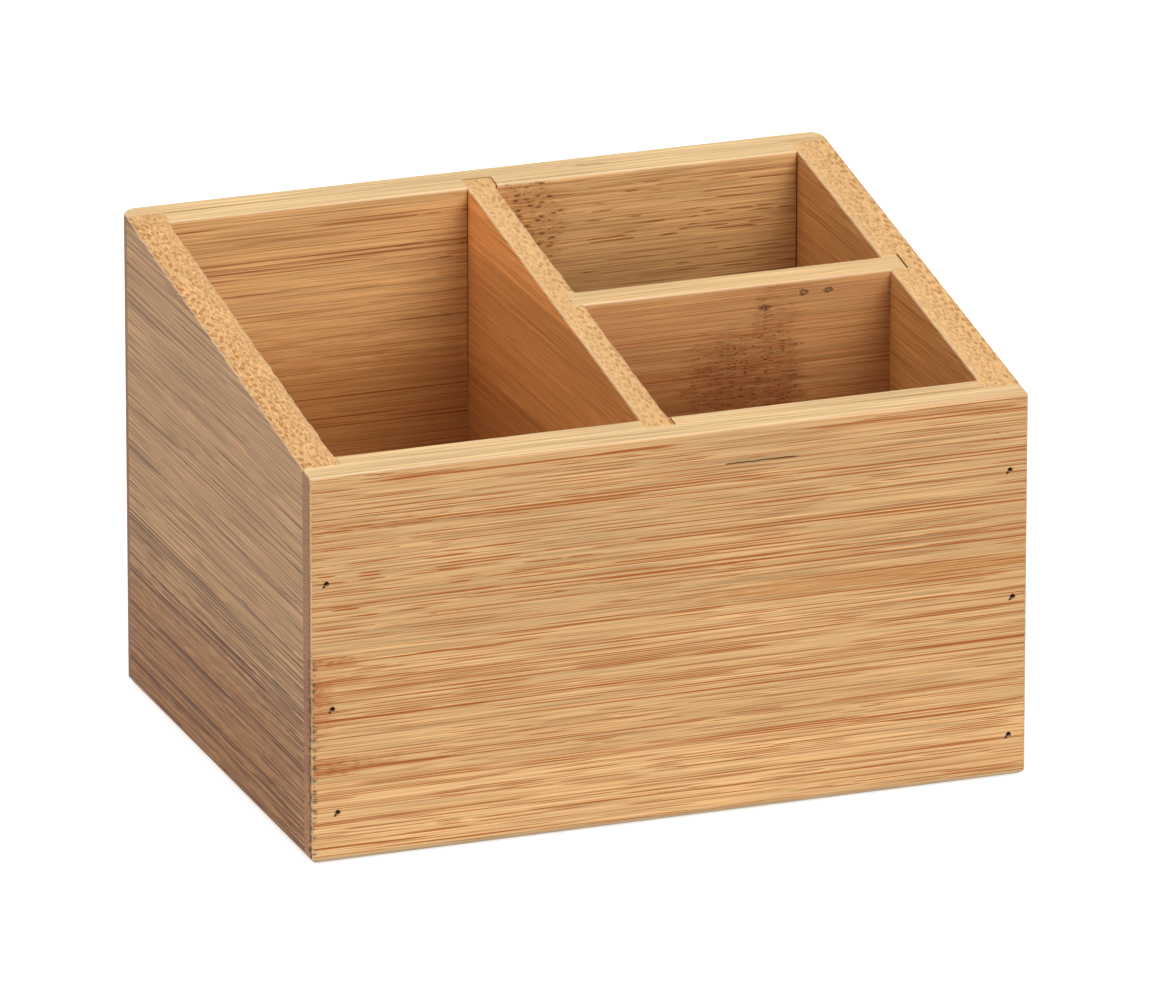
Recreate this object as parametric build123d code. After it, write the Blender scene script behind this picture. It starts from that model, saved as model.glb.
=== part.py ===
from build123d import *
import os

# A bamboo desk organiser: a box of four boards with a low front, a high back and a rim cut on one slope.
# A long divider runs from front to back and a cross divider from it to the right side, which makes three
# compartments. The floor board sits in a groove. Wire brads hold the front and back to the sides.
# Millimetres. The origin is the middle of the footprint, +Z up, -Y towards the low front.

# Outside of the box
width = 150.0
depth = 115.0
front_height = 80.0
back_height = 100.0

# Board stock
wall = 8.0
divider = 6.0
floor_board = 4.0

# Where the inner boards stand
long_divider_x = -0.9
cross_divider_y = 0.3
floor_raise = 3.0

# Joints: rabbets, dadoes and the floor groove are cut to one depth
joint_depth = 3.8
divider_notch = 2.2
end_gap = 0.4
side_gap = 0.25
floor_slack = 0.3

# Sanded edges: the front corners are kept crisp, the back corners and the underside are rounder
front_corner_radius = 0.8
back_corner_radius = 3.0
underside_radius = 2.0
rim_radius = 0.75
inner_edge_radius = 0.8

# Brads: round wire with a flat head, driven below the face of the board
wire_radius = 0.4
head_radius = 0.55
head_thickness = 0.4
head_sink = 0.9
brad_length = 22.0
point_length = 1.5

# Brad places as (distance in from the side of the box, height)
front_left_places = [(5.5, 10.5), (4.5, 32.0), (3.4, 58.0)]
front_right_places = [(3.7, 9.0), (3.1, 38.0), (3.9, 64.5)]
back_places = [(4.0, 12.0), (4.0, 46.0), (4.0, 80.0)]

# Worked out from the above
half_width = width / 2
half_depth = depth / 2
inner_half_width = half_width - wall
inner_half_depth = half_depth - wall
seat_half_width = inner_half_width + joint_depth
seat_half_depth = inner_half_depth + joint_depth
floor_top = floor_raise + floor_board
above_rim = back_height + wall
long_left = long_divider_x - divider / 2
long_right = long_divider_x + divider / 2
cross_front = cross_divider_y - divider / 2
cross_back = cross_divider_y + divider / 2


def block(x0, x1, y0, y1, z0, z1):
    """A box between two opposite corners, its X and Y limits in either order."""
    middle = Pos((x0 + x1) / 2, (y0 + y1) / 2, (z0 + z1) / 2)
    return middle * Box(abs(x1 - x0), abs(y1 - y0), z1 - z0)


def outer_wedge():
    """The outside of the box: what its side, front and plan outlines have in common when run through it."""
    side_outline = Polyline(
        (-half_depth, 0),
        (half_depth, 0),
        (half_depth, back_height),
        (-half_depth, front_height),
        close=True,
    )
    from_side = extrude(Plane.YZ * make_face(side_outline), amount=half_width, both=True)
    from_side = fillet(from_side.edges().filter_by(Axis.X).group_by(Axis.Z)[0], underside_radius)
    from_front = block(-half_width, half_width, -half_depth, half_depth, 0, above_rim)
    from_front = fillet(from_front.edges().filter_by(Axis.Y).group_by(Axis.Z)[0], underside_radius)
    from_above = block(-half_width, half_width, -half_depth, half_depth, 0, above_rim)
    corners = from_above.edges().filter_by(Axis.Z).group_by(Axis.Y)
    from_above = fillet(corners[0], front_corner_radius)
    corners = from_above.edges().filter_by(Axis.Z).group_by(Axis.Y)
    from_above = fillet(corners[-1], back_corner_radius)
    wedge = from_side & from_front & from_above
    rim = wedge.faces().sort_by(Axis.Z)[-1]
    return fillet(rim.edges(), rim_radius)


def compartments():
    """The three open spaces above the floor: one on the left, two behind each other on the right."""
    left = block(-inner_half_width, long_left, -inner_half_depth, inner_half_depth, floor_top, above_rim)
    front = block(long_right, inner_half_width, -inner_half_depth, cross_front, floor_top, above_rim)
    back = block(long_right, inner_half_width, cross_back, inner_half_depth, floor_top, above_rim)
    return [left, front, back]


def sanded_box():
    """The glued-up box as one shape, with its edges eased all round. Every board is taken out of it."""
    box = outer_wedge()
    for space in compartments():
        box -= space
    rim = box.faces().filter_by(GeomType.PLANE).sort_by(Axis.Z)[-1]
    inner_edges = [edge for wire in rim.inner_wires() for edge in wire.edges()]
    return fillet(inner_edges, inner_edge_radius)


def brad(above_head):
    """A brad along +Y with the top of its head at the origin. above_head makes the hole over the head."""
    half_outline = Polyline(
        (0, -above_head),
        (head_radius, -above_head),
        (head_radius, head_thickness),
        (wire_radius, head_thickness),
        (wire_radius, brad_length - point_length),
        (0, brad_length),
        close=True,
    )
    return revolve(make_face(half_outline), Axis.Y)


def brad_row(places, side, end, above_head=0.0):
    """Brads down one corner, pointing inwards. side is -1 left or +1 right, end is -1 front or +1 back."""
    facing = Rot(0, 0, 0) if end < 0 else Rot(0, 0, 180)
    row = []
    for inset, height in places:
        head_top = Pos(side * (half_width - inset), end * (half_depth - head_sink), height)
        row.append(head_top * facing * brad(above_head))
    return row


def end_board(box, end, holes):
    """The front (end -1) or back (end +1) board: two rabbets, a dado and the floor groove."""
    inner = end * inner_half_depth
    outer = end * half_depth
    seat = end * seat_half_depth
    board = box & block(-half_width, half_width, inner, outer, 0, above_rim)
    board -= block(-half_width, -inner_half_width, inner, seat, 0, above_rim)
    board -= block(inner_half_width, half_width, inner, seat, 0, above_rim)
    board -= block(-inner_half_width, inner_half_width, inner, seat, floor_raise, floor_top)
    board -= block(long_left, long_right + side_gap, inner, seat, floor_top, above_rim)
    for hole in holes:
        board -= hole
    return board


def side_board(box, side, holes):
    """A side board (side -1 left, +1 right) reaching into both rabbets, with the floor groove."""
    inner = side * inner_half_width
    outer = side * half_width
    seat = side * seat_half_width
    board = box & block(inner, outer, -seat_half_depth, seat_half_depth, 0, above_rim)
    board -= block(inner, seat, -seat_half_depth, seat_half_depth, floor_raise, floor_top)
    for hole in holes:
        board -= hole
    return board


def right_side_board(box, holes):
    """The right board also has the dado for the cross divider."""
    board = side_board(box, 1, holes)
    return board - block(inner_half_width, seat_half_width, cross_front, cross_back, floor_top, above_rim)


def long_divider_board(box):
    """Stands on the floor, seated at the front and short of the dado's end at the back by the end gap."""
    blank = block(long_left, long_right, -seat_half_depth, seat_half_depth - end_gap, floor_top, above_rim)
    notch = block(long_right - divider_notch, long_right, cross_front, cross_back, floor_top, above_rim)
    return (box & blank) - notch


def cross_divider_board(box):
    """Seated in the long divider's notch and short of the right dado's end by the end gap."""
    left_end = long_right - divider_notch
    right_end = seat_half_width - end_gap
    return box & block(left_end, right_end, cross_front, cross_back, floor_top, above_rim)


def floor():
    """The floor board, a little smaller than the groove all round."""
    half_x = seat_half_width - floor_slack
    half_y = seat_half_depth - floor_slack
    return block(-half_x, half_x, -half_y, half_y, floor_raise, floor_top)


def save(name, shape):
    """One STEP file per node."""
    export_step(shape, f"parts/{name}.step")


def main():
    os.makedirs("parts", exist_ok=True)
    box = sanded_box()
    corners = {
        "front_left": (front_left_places, -1, -1),
        "front_right": (front_right_places, 1, -1),
        "back_left": (back_places, -1, 1),
        "back_right": (back_places, 1, 1),
    }
    holes = {}
    for name, (places, side, end) in corners.items():
        holes[name] = brad_row(places, side, end, above_head=head_sink)
        save(f"{name}_brads", Compound(children=brad_row(places, side, end)))
    save("front_panel", end_board(box, -1, holes["front_left"] + holes["front_right"]))
    save("back_panel", end_board(box, 1, holes["back_left"] + holes["back_right"]))
    save("left_side_panel", side_board(box, -1, holes["front_left"] + holes["back_left"]))
    save("right_side_panel", right_side_board(box, holes["front_right"] + holes["back_right"]))
    save("long_divider", long_divider_board(box))
    save("cross_divider", cross_divider_board(box))
    save("bottom_panel", floor())


main()
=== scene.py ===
import math
from dataclasses import dataclass
from functools import reduce

import bmesh
import bpy
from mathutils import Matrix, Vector, noise


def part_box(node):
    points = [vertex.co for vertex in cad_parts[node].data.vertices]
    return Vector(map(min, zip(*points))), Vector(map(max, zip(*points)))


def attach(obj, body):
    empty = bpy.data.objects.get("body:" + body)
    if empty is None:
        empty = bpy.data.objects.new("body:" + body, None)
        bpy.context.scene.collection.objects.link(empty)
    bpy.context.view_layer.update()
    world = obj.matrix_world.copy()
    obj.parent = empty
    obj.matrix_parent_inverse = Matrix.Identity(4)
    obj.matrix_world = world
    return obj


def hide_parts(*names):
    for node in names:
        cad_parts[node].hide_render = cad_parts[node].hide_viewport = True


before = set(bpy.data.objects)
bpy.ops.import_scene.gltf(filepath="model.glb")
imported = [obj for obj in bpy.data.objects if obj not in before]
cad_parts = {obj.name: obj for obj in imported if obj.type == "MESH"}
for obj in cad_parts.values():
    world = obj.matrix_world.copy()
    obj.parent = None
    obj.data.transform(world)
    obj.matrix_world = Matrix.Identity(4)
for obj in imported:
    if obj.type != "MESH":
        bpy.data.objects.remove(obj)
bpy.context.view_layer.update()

# A bamboo desk organiser box. The boards have the CAD nodes' shapes, with inner rim edges that waver as
# hand sanding leaves them. They are dressed in one solid bamboo: its bundles run along each board's grain,
# so faces show streaks, end grain shows dots and the sloped rims show short strokes. Materials and wear are
# written in millimetres, scene objects in metres.

MM = 0.001
X, Y, Z = 0, 1, 2


# ---------------------------------------------------------------- building nodes


class Signal:
    """A number that varies over a surface. Arithmetic on it adds Math nodes to its graph."""

    def __init__(self, graph, socket):
        self.graph = graph
        self.socket = socket

    def __add__(self, other):
        return self.graph.math("ADD", self, other)

    def __sub__(self, other):
        return self.graph.math("SUBTRACT", self, other)

    def __rsub__(self, other):
        return self.graph.math("SUBTRACT", other, self)

    def __mul__(self, other):
        return self.graph.math("MULTIPLY", self, other)

    def __truediv__(self, other):
        return self.graph.math("DIVIDE", self, other)

    __radd__ = __add__
    __rmul__ = __mul__

    def __abs__(self):
        return self.graph.math("ABSOLUTE", self)

    def floor(self):
        return self.graph.math("FLOOR", self)

    def fraction(self):
        return self.graph.math("FRACT", self)

    def at_most(self, other):
        return self.graph.math("MINIMUM", self, other)

    def at_least(self, other):
        return self.graph.math("MAXIMUM", self, other)

    def fade(self, low, high):
        """0 at low and 1 at high, smooth between them. low may be the larger."""
        return self.graph.fade(self, low, high)


class Graph:
    """One material's node tree, with a method for each kind of node that the materials use."""

    def __init__(self, name):
        self.material = bpy.data.materials.new(name)
        self.material.use_nodes = True
        self.tree = self.material.node_tree
        self.tree.nodes.clear()

    def feed(self, socket, value):
        if isinstance(value, Signal):
            value = value.socket
        if isinstance(value, bpy.types.NodeSocket):
            self.tree.links.new(value, socket)
        else:
            socket.default_value = value

    def node(self, kind, **settings):
        made = self.tree.nodes.new(kind)
        for key, value in settings.items():
            setattr(made, key, value)
        return made

    def math(self, operation, *values):
        made = self.node("ShaderNodeMath", operation=operation)
        for socket, value in zip(made.inputs, values):
            self.feed(socket, value)
        return Signal(self, made.outputs[0])

    def fade(self, value, low, high):
        made = self.node("ShaderNodeMapRange", interpolation_type="SMOOTHSTEP")
        self.feed(made.inputs["Value"], value)
        self.feed(made.inputs["From Min"], low)
        self.feed(made.inputs["From Max"], high)
        return Signal(self, made.outputs["Result"])

    def vector(self, x, y, z=0.0):
        made = self.node("ShaderNodeCombineXYZ")
        for socket, value in zip(made.inputs, (x, y, z)):
            self.feed(socket, value)
        return made.outputs[0]

    def split(self, socket):
        made = self.node("ShaderNodeSeparateXYZ")
        self.feed(made.inputs[0], socket)
        return [Signal(self, output) for output in made.outputs]

    def object_point(self):
        """The shaded point's X, Y and Z on its object, in metres."""
        coordinates = self.node("ShaderNodeTexCoord")
        return self.split(coordinates.outputs["Object"])

    def object_normal(self):
        """Which way the surface faces there, as the X, Y and Z of its normal."""
        coordinates = self.node("ShaderNodeTexCoord")
        return self.split(coordinates.outputs["Normal"])

    def noise(self, x, y, z, detail=1.0):
        """Smooth noise around 0, mostly within half of 1 either way, with features about 1 across."""
        made = self.node("ShaderNodeTexNoise", noise_dimensions="3D")
        self.feed(made.inputs["Vector"], self.vector(x, y, z))
        made.inputs["Scale"].default_value = 1.0
        made.inputs["Detail"].default_value = detail
        return (Signal(self, made.outputs["Fac"]) - 0.5) * 2.0

    def cells(self, x, y):
        """Random cells about 1 across: the distance to the cell's middle, the cell's own number from 0 to
        1, and how far y is past the middle."""
        made = self.node("ShaderNodeTexVoronoi", voronoi_dimensions="2D", feature="F1")
        self.feed(made.inputs["Vector"], self.vector(x, y))
        made.inputs["Scale"].default_value = 1.0
        number = self.split(made.outputs["Color"])[0]
        past = y - self.split(made.outputs["Position"])[1]
        return Signal(self, made.outputs["Distance"]), number, past

    def blend(self, amount, first, second, kind="MIX"):
        """Colours: first where amount is 0, second where it is 1."""
        made = self.node("ShaderNodeMix", data_type="RGBA", blend_type=kind)
        self.feed(made.inputs["Factor"], amount)
        sockets = [socket for socket in made.inputs if socket.type == "RGBA"]
        self.feed(sockets[0], first)
        self.feed(sockets[1], second)
        return [socket for socket in made.outputs if socket.type == "RGBA"][0]

    def scale(self, colour, amount):
        """A colour made lighter or darker by a number that varies."""
        made = self.node("ShaderNodeVectorMath", operation="SCALE")
        self.feed(made.inputs[0], colour[:3] if isinstance(colour, tuple) else colour)
        self.feed(made.inputs["Scale"], amount)
        return made.outputs[0]

    def shader(self, colour, roughness):
        """The material's Principled shader, joined to its output."""
        made = self.node("ShaderNodeBsdfPrincipled")
        self.feed(made.inputs["Base Color"], colour)
        self.feed(made.inputs["Roughness"], roughness)
        output = self.node("ShaderNodeOutputMaterial")
        self.feed(output.inputs["Surface"], made.outputs[0])
        return made

    def emboss(self, shader, relief):
        """Raises a shader's surface by a relief in millimetres."""
        bump = self.node("ShaderNodeBump")
        bump.inputs["Distance"].default_value = MM
        self.feed(bump.inputs["Height"], relief)
        self.feed(shader.inputs["Normal"], bump.outputs[0])


def srgb(red, green, blue):
    """A colour given as 0 to 255 screen values, as the linear values that Blender mixes."""
    return tuple((value / 255) ** 2.2 for value in (red, green, blue)) + (1.0,)


# ---------------------------------------------------------------- how each board looks

RIM_STROKE = srgb(188, 110, 46)
PALE_FIBRE = srgb(240, 200, 146)
DARK_DROP = srgb(96, 48, 18)
SCAR = srgb(52, 25, 9)
GLUE = srgb(150, 96, 52)
END_GRAIN_TINT = srgb(202, 170, 116)
PALE_EDGE_AND_HIGHLIGHT = srgb(250, 224, 184)
# The side rims' colour is paler than the faces: partly the paler cut, partly painted sheen from the light
# above.
SIDE_RIM = srgb(238, 190, 129)

# Where the front board's brads are, as (along, height)
FRONT_BRADS = ((-69.5, 10.5), (-70.5, 32.0), (-71.6, 58.0), (71.3, 9.0), (71.9, 38.0), (71.1, 64.5))


@dataclass
class Patch:
    """An oval on a board's broad face, by its middle and half sizes: (along the grain, up the board)."""

    middle: tuple
    reach: tuple


@dataclass
class Look:
    """How one board's bamboo lies and how it is coloured. Places on it are (along the grain, height)."""

    # The axes of the grain and of the board's thickness, and the side of the second that faces outwards.
    grain: int
    deep: int
    outer: int
    seed: float

    # The board is glued up from strips of this height. Each strip, from the lowest up, is lightened or
    # darkened by its value in this tuple:
    # partly the strips' own tones, partly painted light and shade, mostly darker low down where less light
    # falls.
    strip: float = 25.0
    first_glue: float = 12.0
    strip_tones_and_shade: tuple = ()

    # The size of a bundle of fibres, up the board and through it, about how long its streaks are, and how
    # long in the patches where they swirl.
    bundle: tuple = (0.88, 1.1)
    steady: float = 140.0
    curl_run: float = 40.0
    swirls: tuple = ()

    # How strong the broad streaks, the fine ones, the hairs and the rim's marks are, how much is added to
    # the marks low down, and the share of the fine bundles that are pale.
    bold: float = 0.95
    fine: float = 0.6
    hair: float = 0.7
    rim_marks: float = 0.3
    low_marks: float = 0.0
    pale_share: float = 0.06

    # Colours, the patches that are more amber, and the gloss. The patches are partly the wood's own amber
    # and partly painted shade:
    # low on the left side, back and cross boards they paint a darker, redder lower part where little light
    # and a reddish bounced light fall.
    ground: tuple = srgb(222, 174, 120)
    # The rim's colour is paler: partly the paler cut, partly painted sheen from the light above.
    rim: tuple = srgb(238, 201, 147)
    streak: tuple = srgb(170, 92, 38)
    amber_and_shade_tint: tuple = srgb(206, 138, 74)
    amber_and_shade_patches: tuple = ()
    gloss: float = 0.25

    # The patches where a culm's joint was cut through, their colour, and the size and share of the drops.
    clusters: tuple = ()
    joint: tuple = srgb(156, 98, 52)
    drop: tuple = (1.5, 0.6)
    drops_share: float = 0.3

    # Marks on the outer face: cracks as (start, end, height), the places of knots and of the ticks that
    # brads tore, and the end that is nicked.
    cracks: tuple = ()
    knots: tuple = ()
    ticks: tuple = ()
    nicked_end: float = 0.0

    # Dark seams on the inner face, as (along, lowest height), and how deep the inner rim edges are worn.
    seams: tuple = ()
    worn: float = 0.05


# Strip values are partly the strips' own tones and partly painted light and shade: darker low down where
# less light falls, lighter at the front board's foot.
looks = {
    "front_panel": Look(
        grain=X, deep=Y, outer=-1, seed=1.0,
        strip=27.0, first_glue=17.0,
        bundle=(0.74, 1.0), steady=240.0,
        fine=1.0, hair=0.9,
        ground=srgb(223, 176, 120), streak=srgb(176, 94, 26),
        strip_tones_and_shade=(0.2, 0.06, -0.03, 0.0),
        swirls=(Patch((-52, 58), (62, 13)),),
        amber_and_shade_patches=(Patch((48, 45.5), (50, 2.2)),),
        clusters=(Patch((-74, 41.5), (12, 1.6)), Patch((-75, 33), (5, 9)), Patch((-74, 20), (20, 2.0))),
        joint=srgb(184, 96, 36), drops_share=0.03,
        cracks=((11.1, 26.9, 72.8), (67.9, 69.1, 72.5)),
        ticks=FRONT_BRADS, nicked_end=-75.0,
    ),
    "back_panel": Look(
        grain=X, deep=Y, outer=1, seed=2.0,
        bold=0.6, fine=0.55,
        ground=srgb(213, 164, 106), streak=srgb(150, 84, 34),
        strip_tones_and_shade=(-0.2, -0.2, -0.16, 0.04, 0.0),
        swirls=(Patch((42, 80), (55, 40)),), curl_run=20.0,
        # Painted shade: darker and redder low in the left compartment.
        amber_and_shade_patches=(Patch((-40, 52), (60, 20)),),
        clusters=(Patch((7, 89), (10, 14)),),
        joint=srgb(182, 122, 66), drop=(2.4, 1.1), drops_share=0.6,
        seams=((66.9, 0.0), (-3.9, 62.0)),
    ),
    "left_side_panel": Look(
        grain=Y, deep=X, outer=-1, seed=3.0,
        bundle=(0.66, 1.1), steady=240.0,
        bold=0.7, fine=0.8, hair=1.0, pale_share=0.3, low_marks=2.2, gloss=0.08,
        ground=srgb(232, 181, 131), streak=srgb(104, 50, 18), amber_and_shade_tint=srgb(186, 118, 62),
        strip_tones_and_shade=(-0.14, -0.1, -0.02, 0.0, 0.0),
        # Painted shade: darker and redder low down.
        amber_and_shade_patches=(Patch((0, 8), (110, 24)),),
        rim=srgb(233, 184, 126), rim_marks=1.15, worn=0.24,
    ),
    "right_side_panel": Look(
        grain=Y, deep=X, outer=1, seed=4.0,
        bundle=(0.78, 1.25),
        bold=0.5, fine=0.5,
        ground=srgb(204, 142, 84),
        rim=SIDE_RIM, rim_marks=0.95, worn=0.3,
    ),
    "long_divider": Look(
        grain=Y, deep=X, outer=1, seed=5.0,
        bundle=(0.55, 0.95),
        bold=0.35, fine=0.55, hair=0.5,
        ground=srgb(221, 149, 87),
        strip_tones_and_shade=(-0.3, -0.26, -0.22, 0.02, 0.36),
        rim=SIDE_RIM, rim_marks=0.8, worn=0.2,
    ),
    "cross_divider": Look(
        grain=X, deep=Y, outer=-1, seed=6.0,
        bold=0.5, fine=0.45,
        ground=srgb(198, 144, 90), amber_and_shade_tint=srgb(176, 106, 58),
        strip_tones_and_shade=(-0.2, -0.2, -0.2, -0.06, 0.0),
        # Painted shade and bounced light: darker and redder low down.
        amber_and_shade_patches=(Patch((22, 62), (40, 12)),),
        clusters=(Patch((42, 63), (7, 27)), Patch((34, 71), (13, 10))),
        joint=srgb(138, 74, 33), drop=(1.3, 0.6), drops_share=0.2,
        knots=((48.4, 86.9), (53.7, 86.8), (40.0, 84.5)),
        rim=srgb(236, 196, 140),
    ),
    "bottom_panel": Look(
        grain=X, deep=Z, outer=-1, seed=7.0,
        bold=0.5,
        ground=srgb(206, 154, 100),
    ),
}


# ---------------------------------------------------------------- bamboo


@dataclass
class Place:
    """Where a shaded point is on its board, in millimetres, and how much the surface there is end grain,
    rim, face or eased edge, from 0 to 1."""

    along: Signal
    height: Signal
    deep: Signal
    on_end: Signal
    on_rim: Signal
    on_face: Signal
    on_edge: Signal


def place_on_board(g, node, look):
    """The place that is being shaded. deep is 0 at the outer face, whichever side that is on."""
    point = [axis / MM for axis in g.object_point()]
    normal = [abs(axis) for axis in g.object_normal()]
    up = 3 - look.grain - look.deep
    low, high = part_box(node)
    if look.outer < 0:
        deep = point[look.deep] - low[look.deep] / MM
    else:
        deep = high[look.deep] / MM - point[look.deep]
    on_rim = normal[up].fade(0.6, 0.85)
    largest = normal[0].at_least(normal[1]).at_least(normal[2])
    return Place(
        along=point[look.grain],
        height=point[up],
        deep=deep,
        on_end=normal[look.grain].fade(0.5, 0.8),
        on_rim=on_rim,
        on_face=1.0 - on_rim,
        on_edge=largest.fade(0.97, 0.8),
    )


def oval(place, patch, tilt=0.0):
    """How far out a point is in an oval, squared: 0 at its middle and 1 at its edge. tilt is in degrees."""
    turn = math.radians(tilt)
    across = place.along - patch.middle[0]
    up = place.height - patch.middle[1]
    long_way = (across * math.cos(turn) + up * math.sin(turn)) / patch.reach[0]
    short_way = (up * math.cos(turn) - across * math.sin(turn)) / patch.reach[1]
    return long_way * long_way + short_way * short_way


def strongest(signals):
    """The largest of some signals, or 0 where there are none."""
    return reduce(Signal.at_least, signals) if signals else 0.0


def patch_strength(g, place, patches):
    """1 inside any of the patches, 0 outside them all, with ragged edges."""
    coarse = 0.8 * g.noise(place.along / 6.0, place.height / 1.4, 0.0, detail=3.0)
    ragged = coarse + 0.9 * g.noise(place.along / 5.0, place.height * 1.6, 5.0)
    return strongest([(oval(place, patch) + ragged).fade(1.3, 0.0) for patch in patches])


def bundles(g, place, size, drift, wave, run, seed):
    """Bundles of fibre along the grain: how near a point is to the middle of one, and that one's own
    number. The bundles drift in depth over the length run, so that a face cuts in and out of them."""
    slide = g.noise(place.along / run, place.height / 5.0 + seed, place.deep / 5.0, detail=2.0)
    lift = g.noise(place.along / run + 31.0, place.height / 9.0 - seed, place.deep / 5.0)
    across = place.height / size[0] + wave * lift + seed
    distance, number, _ = g.cells(across, place.deep / size[1] + drift * slide)
    return distance, number


def bold_streaks(g, place, look, seed):
    """The broad streaks: straight, except that they swirl where the culm's joint is near."""
    swirl = patch_strength(g, place, look.swirls)
    straight, straight_number = bundles(g, place, look.bundle, 2.2, 0.35, look.steady, seed)
    curled, curled_number = bundles(g, place, look.bundle, 2.4, 0.5, look.curl_run, seed)
    distance = straight + (curled - straight) * swirl
    number = straight_number + (curled_number - straight_number) * swirl
    pulse = 0.85 + 0.8 * g.noise(place.along / (0.2 * look.steady), place.height * 0.9, seed)
    return distance.fade(0.27, 0.15) * number.fade(0.05, 1.0) * pulse * 1.45


def fine_streaks(g, place, look, seed):
    """Streaks of about half the size, and the few of them that are pale fibres."""
    size = (0.48 * look.bundle[0], 0.55 * look.bundle[1])
    distance, number = bundles(g, place, size, 3.0, 0.5, 60.0, seed + 3.1)
    fine = distance.fade(0.36, 0.2) * (0.1 + 1.1 * number)
    chosen = number.fade(0.99 - look.pale_share, 1.01 - look.pale_share)
    return fine, distance.fade(0.3, 0.1) * chosen * place.on_face


def cut_bundles(g, place, size, seed):
    """Bundles cut across at the rim's slope: each a pair of short dark strokes with a paler middle."""
    wander = g.noise(place.height / 2.5, place.deep / 2.5, seed)
    across = place.height / size[0] + 0.5 * wander + seed
    distance, number, past = g.cells(across, place.deep / size[1] + 0.4 * wander)
    return distance.fade(0.42, 0.28) * abs(past).fade(0.02, 0.15) * number.fade(0.0, 0.5)


def rim_strokes(g, place, look):
    """The sloped rim of a board that runs front to back: coarse strokes near the bark, finer ones behind
    them and torn fibres along the outer edge."""
    near_bark = place.deep.fade(4.0, 2.5)
    wide = cut_bundles(g, place, (0.4, 0.95), look.seed) * near_bark
    narrow = cut_bundles(g, place, (0.3, 0.66), look.seed + 4.0) * (1.0 - near_bark)
    torn = g.noise(place.height * 4.0, place.along * 0.2, look.seed, detail=2.0).fade(-0.15, 0.2)
    torn = torn * place.deep.fade(0.9, 0.4)
    return (wide + 0.75 * narrow).at_least(torn) * place.deep.fade(10.0, 4.0)


def bare_wood(g, place, look, strip, seed, hair):
    """The ground: paler on the rim, partly the paler cut and partly painted sheen from the light above;
    hairs and clouds all over;
    a tone for each strip, partly painted shade; amber bands; and patches of amber and painted shade.
    """
    cloud = g.noise(place.along / 60.0, place.height / 6.0, seed, detail=2.0)
    band = g.noise(place.along / 220.0, place.height / 1.9, seed, detail=2.0).fade(0.0, 0.75)
    amber_and_shade_patches = patch_strength(g, place, look.amber_and_shade_patches)
    shade = 1.0 + look.hair * hair * (0.65 + 0.35 * place.on_face) + 0.1 * cloud
    # Each strip's value is partly its own tone and partly painted light and shade, mostly darker low down.
    for number, difference in enumerate(look.strip_tones_and_shade):
        shade = shade + place.on_face * difference * g.math("COMPARE", strip, number - 1.0, 0.5)
    # The rim's paler colour is partly the paler cut and partly painted sheen from the light above.
    colour = g.scale(g.blend(place.on_rim, look.ground, look.rim), shade)
    # Amber bands are the wood's own. The patches are partly amber and partly painted shade, darker and
    # redder low down.
    return g.blend((0.45 * band + 0.6 * amber_and_shade_patches) * place.on_face, colour, look.amber_and_shade_tint)


def specks(g, place, size, share, seed):
    """Dark drops where the culm's joint was cut through. share is how many of the places have one."""
    distance, number, _ = g.cells(place.along / size[0] + seed, place.height / size[1])
    return distance.fade(0.38, 0.12) * number.fade(1.0 - share, 1.15 - share)


def add_joint(g, place, look, colour):
    """The culm's joint: a streaky darker ground with dashes and drops. Returns the colour and the drops."""
    cluster = patch_strength(g, place, look.clusters)
    drops = specks(g, place, look.drop, look.drops_share, look.seed)
    dots = specks(g, place, (0.9, 0.7), min(0.2, look.drops_share), look.seed + 9.0)
    dashes = specks(g, place, (2.6, 0.36), 0.7, look.seed + 5.0)
    drops = drops.at_least(dots) * cluster * (1.0 - 0.9 * place.on_rim)
    streaky = 0.75 + 0.9 * g.noise(place.along / 5.0, place.height * 3.0, look.seed, detail=2.0)
    colour = g.blend((cluster * 0.6 * streaky * place.on_face).at_most(1.0), colour, look.joint)
    colour = g.blend(dashes * cluster * 0.6 * place.on_face, colour, g.scale(look.joint, 0.5))
    return g.blend(drops * 0.75, colour, DARK_DROP), drops


def split_along_grain(g, place, crack):
    """A hair-fine crack, blunt at its start and tapering at its end."""
    start, end, height = crack
    wander = 0.15 * g.noise(place.along / 3.0, 0.0, 0.0)
    line = abs(place.height - height + wander).fade(0.17, 0.06)
    return line * place.along.fade(start - 0.3, start + 0.6) * place.along.fade(end + 0.3, end - 2.0)


def knot_ring(g, place, middle):
    """A small scar: a ragged brown spot with a paler middle, drawn out along the grain."""
    ragged = 2.2 * g.noise(place.along * 1.3, place.height * 2.6, 3.0, detail=3.0)
    out = oval(place, Patch(middle, (1.1, 0.7)))
    return 0.7 * (out + ragged).fade(1.3, 0.2) * out.fade(0.0, 0.1) * out.fade(2.5, 1.2)


def brad_tick(place, brad):
    """The slanting tear that runs down from a brad's hole."""
    middle = (brad[0] - 0.35, brad[1] - 0.35)
    return oval(place, Patch(middle, (0.7, 0.32)), tilt=45).fade(1.0, 0.5)


def torn_end(g, place, end):
    """Fibres torn out along the lower half of the board's end."""
    torn = g.noise(place.along / 3.0, place.height * 1.1, place.deep * 1.4, detail=2.0).fade(-0.05, 0.25)
    return 0.85 * torn * place.height.fade(47.0, 38.0) * abs(place.along - end).fade(1.7, 0.4)


def seam_line(place, seam):
    """The dark line where another board meets this one."""
    along, lowest = seam
    return abs(place.along - along).fade(0.22, 0.08) * place.height.fade(lowest - 15.0, lowest + 10.0)


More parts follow.
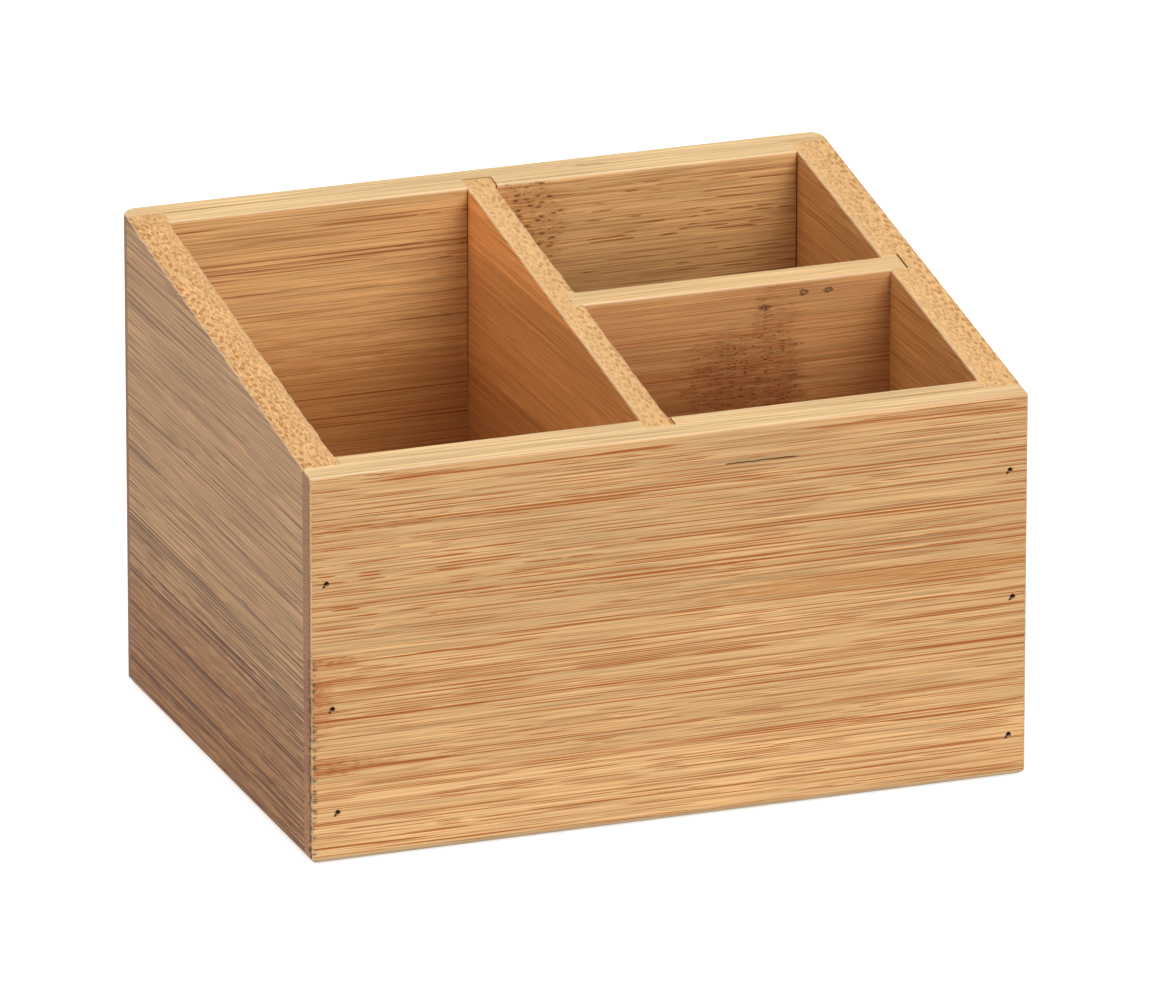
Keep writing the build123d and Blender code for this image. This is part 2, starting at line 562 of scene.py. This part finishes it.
def scars(g, place, look):
    """All the dark marks: cracks, knots, ticks and a torn end outside, and seams inside."""
    outside = [split_along_grain(g, place, crack) for crack in look.cracks]
    outside += [knot_ring(g, place, middle) for middle in look.knots]
    outside += [brad_tick(place, brad) for brad in look.ticks]
    if look.nicked_end:
        outside.append(torn_end(g, place, look.nicked_end))
    inside = [seam_line(place, seam) for seam in look.seams]
    outer_marks = strongest(outside) * place.deep.fade(2.0, 1.0)
    inner_marks = 0.8 * strongest(inside) * place.deep.fade(5.0, 6.0)
    return outer_marks.at_least(inner_marks) * place.on_face


def bamboo(name, node, look):
    """Solid bamboo for one board, in strips glued up its height."""
    g = Graph(name)
    place = place_on_board(g, node, look)
    level = (place.height - look.first_glue) / look.strip
    strip = level.floor()
    strip_seed = look.seed + 7.3 * strip
    to_glue = (0.5 - abs(level.fraction() - 0.5)) * look.strip
    glue = to_glue.fade(0.16, 0.04) * place.on_face

    bold = bold_streaks(g, place, look, strip_seed)
    fine, pale = fine_streaks(g, place, look, strip_seed)
    if look.grain == Y:
        rim_marks = rim_strokes(g, place, look)
        rim_streak = RIM_STROKE
    else:
        rim_marks = bold + fine
        rim_streak = look.streak
    low_down = place.height.fade(48.0, 20.0)
    face_marks = (bold * look.bold + fine * look.fine) * place.on_face
    face_marks = face_marks * (1.0 + look.low_marks * low_down) * (1.0 + 1.2 * place.on_end)
    hair = g.noise(place.along / 34.0, place.height * 3.4, place.deep * 2.4, detail=4.0)
    scar = scars(g, place, look)

    colour = bare_wood(g, place, look, strip, strip_seed, hair)
    colour = g.blend(face_marks.at_most(1.0), colour, look.streak)
    colour = g.blend((rim_marks * place.on_rim * look.rim_marks).at_most(1.0), colour, rim_streak)
    colour = g.blend(0.5 * pale, colour, PALE_FIBRE)
    drops = 0.0
    if look.clusters:
        colour, drops = add_joint(g, place, look, colour)
    colour = g.blend(0.95 * scar, colour, SCAR)
    colour = g.blend(0.25 * glue, colour, GLUE)
    colour = g.blend(0.8 * place.on_end, colour, END_GRAIN_TINT, kind="MULTIPLY")
    # Eased edges are lighter: partly the sanded paler wood, partly a painted highlight where they catch the
    # light.
    colour = g.blend(0.42 * place.on_edge, colour, PALE_EDGE_AND_HIGHLIGHT)

    shader = g.shader(colour, 0.48 + 0.12 * hair - 0.06 * bold + 0.12 * scar)
    shader.inputs["Specular IOR Level"].default_value = look.gloss
    g.emboss(shader, 0.012 * hair - 0.02 * bold - 0.01 * fine - 0.10 * drops - 0.15 * scar - 0.03 * glue)
    return g.material


# ---------------------------------------------------------------- boards

# The boards are cut every CUT_STEP along the rim and at WEAR_REACHES from its inner edges, so that these
# can bend. The wear is whole within WEAR_CORE of an edge, and dies away over WEAR_ENDS where another board
# comes. Its depth rises and falls in slow and quick waves. Points within TOUCHING of each other are one.
CUT_STEP = 1.25
WEAR_REACHES = (1.0, 1.7, 2.4)
WEAR_CORE = 0.9
WEAR_ENDS = (0.4, 3.5)
SLOW_WAVE = 7.0
QUICK_WAVE = 2.6
TOUCHING = 0.001

# A rim's normal has a Z between these. Faces in line with an axis or the rim within FLAT are flat. An edge
# that turns by more than CREASE degrees is sharp.
RIM_UPRIGHT = (0.9, 0.999)
FLAT = 0.99999
CREASE = 30
AXES = (Vector((1.0, 0.0, 0.0)), Vector((0.0, 1.0, 0.0)), Vector((0.0, 0.0, 1.0)))


def inner_edges():
    """Where each board's inner rim edges run: for each side of its thickness, the stretches along its grain
    between the boards that meet it there."""
    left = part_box("left_side_panel")[1][X]
    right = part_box("right_side_panel")[0][X]
    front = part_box("front_panel")[1][Y]
    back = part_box("back_panel")[0][Y]
    long_low, long_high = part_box("long_divider")
    cross_low, cross_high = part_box("cross_divider")
    whole = [(front, back)]
    halves = [(front, cross_low[Y]), (cross_high[Y], back)]
    across = [(left, long_low[X]), (long_high[X], right)]
    return {
        "front_panel": {1: across},
        "back_panel": {-1: across},
        "left_side_panel": {1: whole},
        "right_side_panel": {-1: halves},
        "long_divider": {-1: whole, 1: halves},
        "cross_divider": {-1: across[1:], 1: across[1:]},
    }


def fade(value, low, high):
    """0 at low and 1 at high, smooth between them."""
    share = min(max((value - low) / (high - low), 0.0), 1.0)
    return share * share * (3.0 - 2.0 * share)


def under_rim(vertex, rim_point, rim_normal):
    """How far a vertex is below the plane of the rim, in metres."""
    return (rim_point - vertex.co).dot(rim_normal)


def faces_near_rim(board, rim_point, rim_normal):
    """The faces that the wear can reach."""
    lowest = (WEAR_REACHES[-1] + 0.01) * MM
    return [face for face in board.faces
            if all(under_rim(vertex, rim_point, rim_normal) < lowest for vertex in face.verts)]


def cut(board, faces, point, normal):
    """New vertices along a plane through some of the board's faces."""
    parts = dict.fromkeys(faces)
    for face in faces:
        parts.update(dict.fromkeys(face.edges))
        parts.update(dict.fromkeys(face.verts))
    bmesh.ops.bisect_plane(board, geom=list(parts), plane_co=point, plane_no=normal, dist=TOUCHING * MM)


def wear(along, look, side):
    """How many millimetres deep the edge is sanded at a place along it."""
    seed = look.seed + 20.0 * side
    slow = noise.noise(Vector((along / SLOW_WAVE, seed, 0.0)))
    quick = noise.noise(Vector((along / QUICK_WAVE, seed, 7.0)))
    return look.worn * max(0.7 + 1.1 * slow + 0.6 * quick, 0.0)


def wear_edge(board, look, side, plane, rim_point, rim_normal, stretches):
    """Sinks one inner rim edge into the wood by an uneven amount that fades out round it."""
    inward = -rim_normal.copy()
    inward[look.deep] -= side
    inward.normalize()
    for vertex in board.verts:
        behind = abs(vertex.co[look.deep] - plane) / MM
        under = under_rim(vertex, rim_point, rim_normal) / MM
        near = fade(max(behind, under), WEAR_REACHES[-1], WEAR_CORE)
        along = vertex.co[look.grain]
        for start, end in stretches:
            ends = fade((along - start) / MM, *WEAR_ENDS) * fade((end - along) / MM, *WEAR_ENDS)
            vertex.co += inward * near * ends * wear(along / MM, look, side) * MM


def cut_for_wear(board, name, look, planes, rim_point, rim_normal):
    """Cuts a board's upper part under its rim, behind its inner faces and across its grain."""
    low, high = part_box(name)
    through = AXES[look.deep]
    across = AXES[look.grain]
    for reach in WEAR_REACHES:
        cut(board, board.faces[:], rim_point - rim_normal * reach * MM, rim_normal)
    for side, plane in planes.items():
        for reach in WEAR_REACHES:
            near = faces_near_rim(board, rim_point, rim_normal)
            cut(board, near, through * (plane - side * reach * MM), through)
    step = CUT_STEP * MM
    for number in range(math.ceil(low[look.grain] / step), math.floor(high[look.grain] / step) + 1):
        cut(board, faces_near_rim(board, rim_point, rim_normal), across * number * step, across)


def shade_board(board, rim_normal):
    """Flat faces stay flat, round ones are smooth, and sharp edges are marked."""
    board.normal_update()
    flat_ways = [*AXES, rim_normal]
    for face in board.faces:
        face.material_index = 0
        face.smooth = all(abs(face.normal.dot(way)) < FLAT for way in flat_ways)
    for edge in board.edges:
        edge.smooth = edge.calc_face_angle(0.0) < math.radians(CREASE)


def sanded_board(name, look, edges):
    """A copy of a CAD board with wavering inner rim edges."""
    board = bmesh.new()
    board.from_mesh(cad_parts[name].data)
    bmesh.ops.remove_doubles(board, verts=board.verts, dist=TOUCHING * MM)
    sloped = [face for face in board.faces if RIM_UPRIGHT[0] < face.normal.z < RIM_UPRIGHT[1]]
    rim = max(sloped, key=lambda face: face.calc_area())
    rim_normal = rim.normal.copy()
    rim_point = rim.verts[0].co.copy()
    low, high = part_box(name)
    planes = {side: high[look.deep] if side > 0 else low[look.deep] for side in edges}
    cut_for_wear(board, name, look, planes, rim_point, rim_normal)
    for side, stretches in edges.items():
        wear_edge(board, look, side, planes[side], rim_point, rim_normal, stretches)
    shade_board(board, rim_normal)
    mesh = bpy.data.meshes.new(f"{name}_sanded")
    board.to_mesh(mesh)
    board.free()
    piece = bpy.data.objects.new(f"{name}_sanded", mesh)
    bpy.context.scene.collection.objects.link(piece)
    return piece


def dress(node, material):
    """A new material for a CAD node that stays."""
    for slot in node.material_slots:
        slot.material = material


def make_boards():
    """The boards round the compartments are sanded copies. The floor board is the CAD node itself."""
    edges = inner_edges()
    for name, look in looks.items():
        material = bamboo(f"bamboo_{name}", name, look)
        if name in edges:
            piece = sanded_board(name, look, edges[name])
            piece.data.materials.append(material)
            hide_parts(name)
            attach(piece, "root")
        else:
            dress(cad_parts[name], material)


# ---------------------------------------------------------------- brads


def steel():
    """Drawn wire, dulled and darkened."""
    g = Graph("brad_steel_wire")
    x, y, z = [axis / MM for axis in g.object_point()]
    drawn = g.noise(x * 6.0, y / 3.0, z * 6.0, detail=3.0)
    dulled = g.noise(x * 1.5, y * 1.5, z * 1.5, detail=2.0).fade(-0.1, 0.5)
    colour = g.blend(dulled, srgb(70, 58, 50), srgb(36, 26, 20))
    colour = g.scale(colour, 1.0 + 0.15 * drawn)
    shader = g.shader(colour, 0.38 + 0.1 * drawn + 0.2 * dulled)
    shader.inputs["Metallic"].default_value = 1.0
    g.emboss(shader, 0.01 * drawn)
    return g.material


def dress_brads():
    """All the brads are of one wire."""
    material = steel()
    for name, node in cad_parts.items():
        if name.endswith("_brads"):
            dress(node, material)


# ---------------------------------------------------------------- camera, light and floor

WHITE = (1.0, 1.0, 1.0, 1.0)
WORLD_STRENGTH = 0.18

# The floor lies just under the box. Its sizes are in metres.
FLOOR_GREY = (0.86, 0.86, 0.86, 1.0)
FLOOR_GLOW = 0.6
FLOOR_HALF_WIDTH = 6.0
FLOOR_DROP = 0.0002

# The camera's place and reach in metres, the direction that it looks in, and its lens in millimetres
CAMERA_PLACE = (-0.9708, -2.6508, 1.0301)
CAMERA_AIM = (0.32505, 0.88677, -0.32859)
CAMERA_LENS = 469.57
CAMERA_REACH = 20.0

# Each sun as the direction that its light comes from, its strength and its angle in degrees
SUNS = {
    "front_low": ((0.25, -1.0, 0.19), 1.3, 25),
    "front_high": ((0.35, -1.0, 0.75), 0.75, 30),
    "left_fill": ((-1.0, -0.15, 0.7), 1.05, 50),
    "overhead": ((0.0, -0.15, 1.0), 0.88, 60),
    "back_fill": ((0.0, 1.0, 0.35), 0.5, 40),
}


def add_camera():
    """Far off with a long lens, looking down from the front left at the front left corner."""
    data = bpy.data.cameras.new("camera")
    data.lens = CAMERA_LENS
    data.clip_end = CAMERA_REACH
    camera = bpy.data.objects.new("camera", data)
    camera.location = CAMERA_PLACE
    camera.rotation_euler = Vector(CAMERA_AIM).to_track_quat("-Z", "Y").to_euler()
    bpy.context.scene.collection.objects.link(camera)
    bpy.context.scene.camera = camera


def add_suns():
    """Soft lights from far off."""
    for name, (toward, strength, angle) in SUNS.items():
        data = bpy.data.lights.new(name, "SUN")
        data.energy = strength
        data.angle = math.radians(angle)
        lamp = bpy.data.objects.new(name, data)
        lamp.rotation_euler = Vector(toward).to_track_quat("Z", "Y").to_euler()
        bpy.context.scene.collection.objects.link(lamp)


def add_room():
    """A white studio: even light from everywhere."""
    world = bpy.data.worlds.new("studio")
    world.use_nodes = True
    background = world.node_tree.nodes["Background"]
    background.inputs["Color"].default_value = WHITE
    background.inputs["Strength"].default_value = WORLD_STRENGTH
    bpy.context.scene.world = world


def floor_material():
    """White paper that glows a little, so that it stays white around the box's soft shadow."""
    g = Graph("studio_floor")
    x, y, z = g.object_point()
    mottle = g.noise(x * 3.0, y * 3.0, z, detail=3.0)
    shader = g.shader(g.scale(FLOOR_GREY, 1.0 + 0.01 * mottle), 0.9)
    shader.inputs["Emission Color"].default_value = WHITE
    shader.inputs["Emission Strength"].default_value = FLOOR_GLOW
    return g.material


def add_floor():
    """A plain floor that throws no colour back on the box."""
    half = FLOOR_HALF_WIDTH
    corners = [(-half, -half, 0), (half, -half, 0), (half, half, 0), (-half, half, 0)]
    mesh = bpy.data.meshes.new("floor")
    mesh.from_pydata(corners, [], [(0, 1, 2, 3)])
    mesh.materials.append(floor_material())
    floor = bpy.data.objects.new("floor", mesh)
    floor.location.z = -FLOOR_DROP
    floor.visible_diffuse = False
    bpy.context.scene.collection.objects.link(floor)


def main():
    make_boards()
    dress_brads()
    add_camera()
    add_room()
    add_suns()
    add_floor()
    bpy.context.scene.view_settings.view_transform = "Standard"


main()
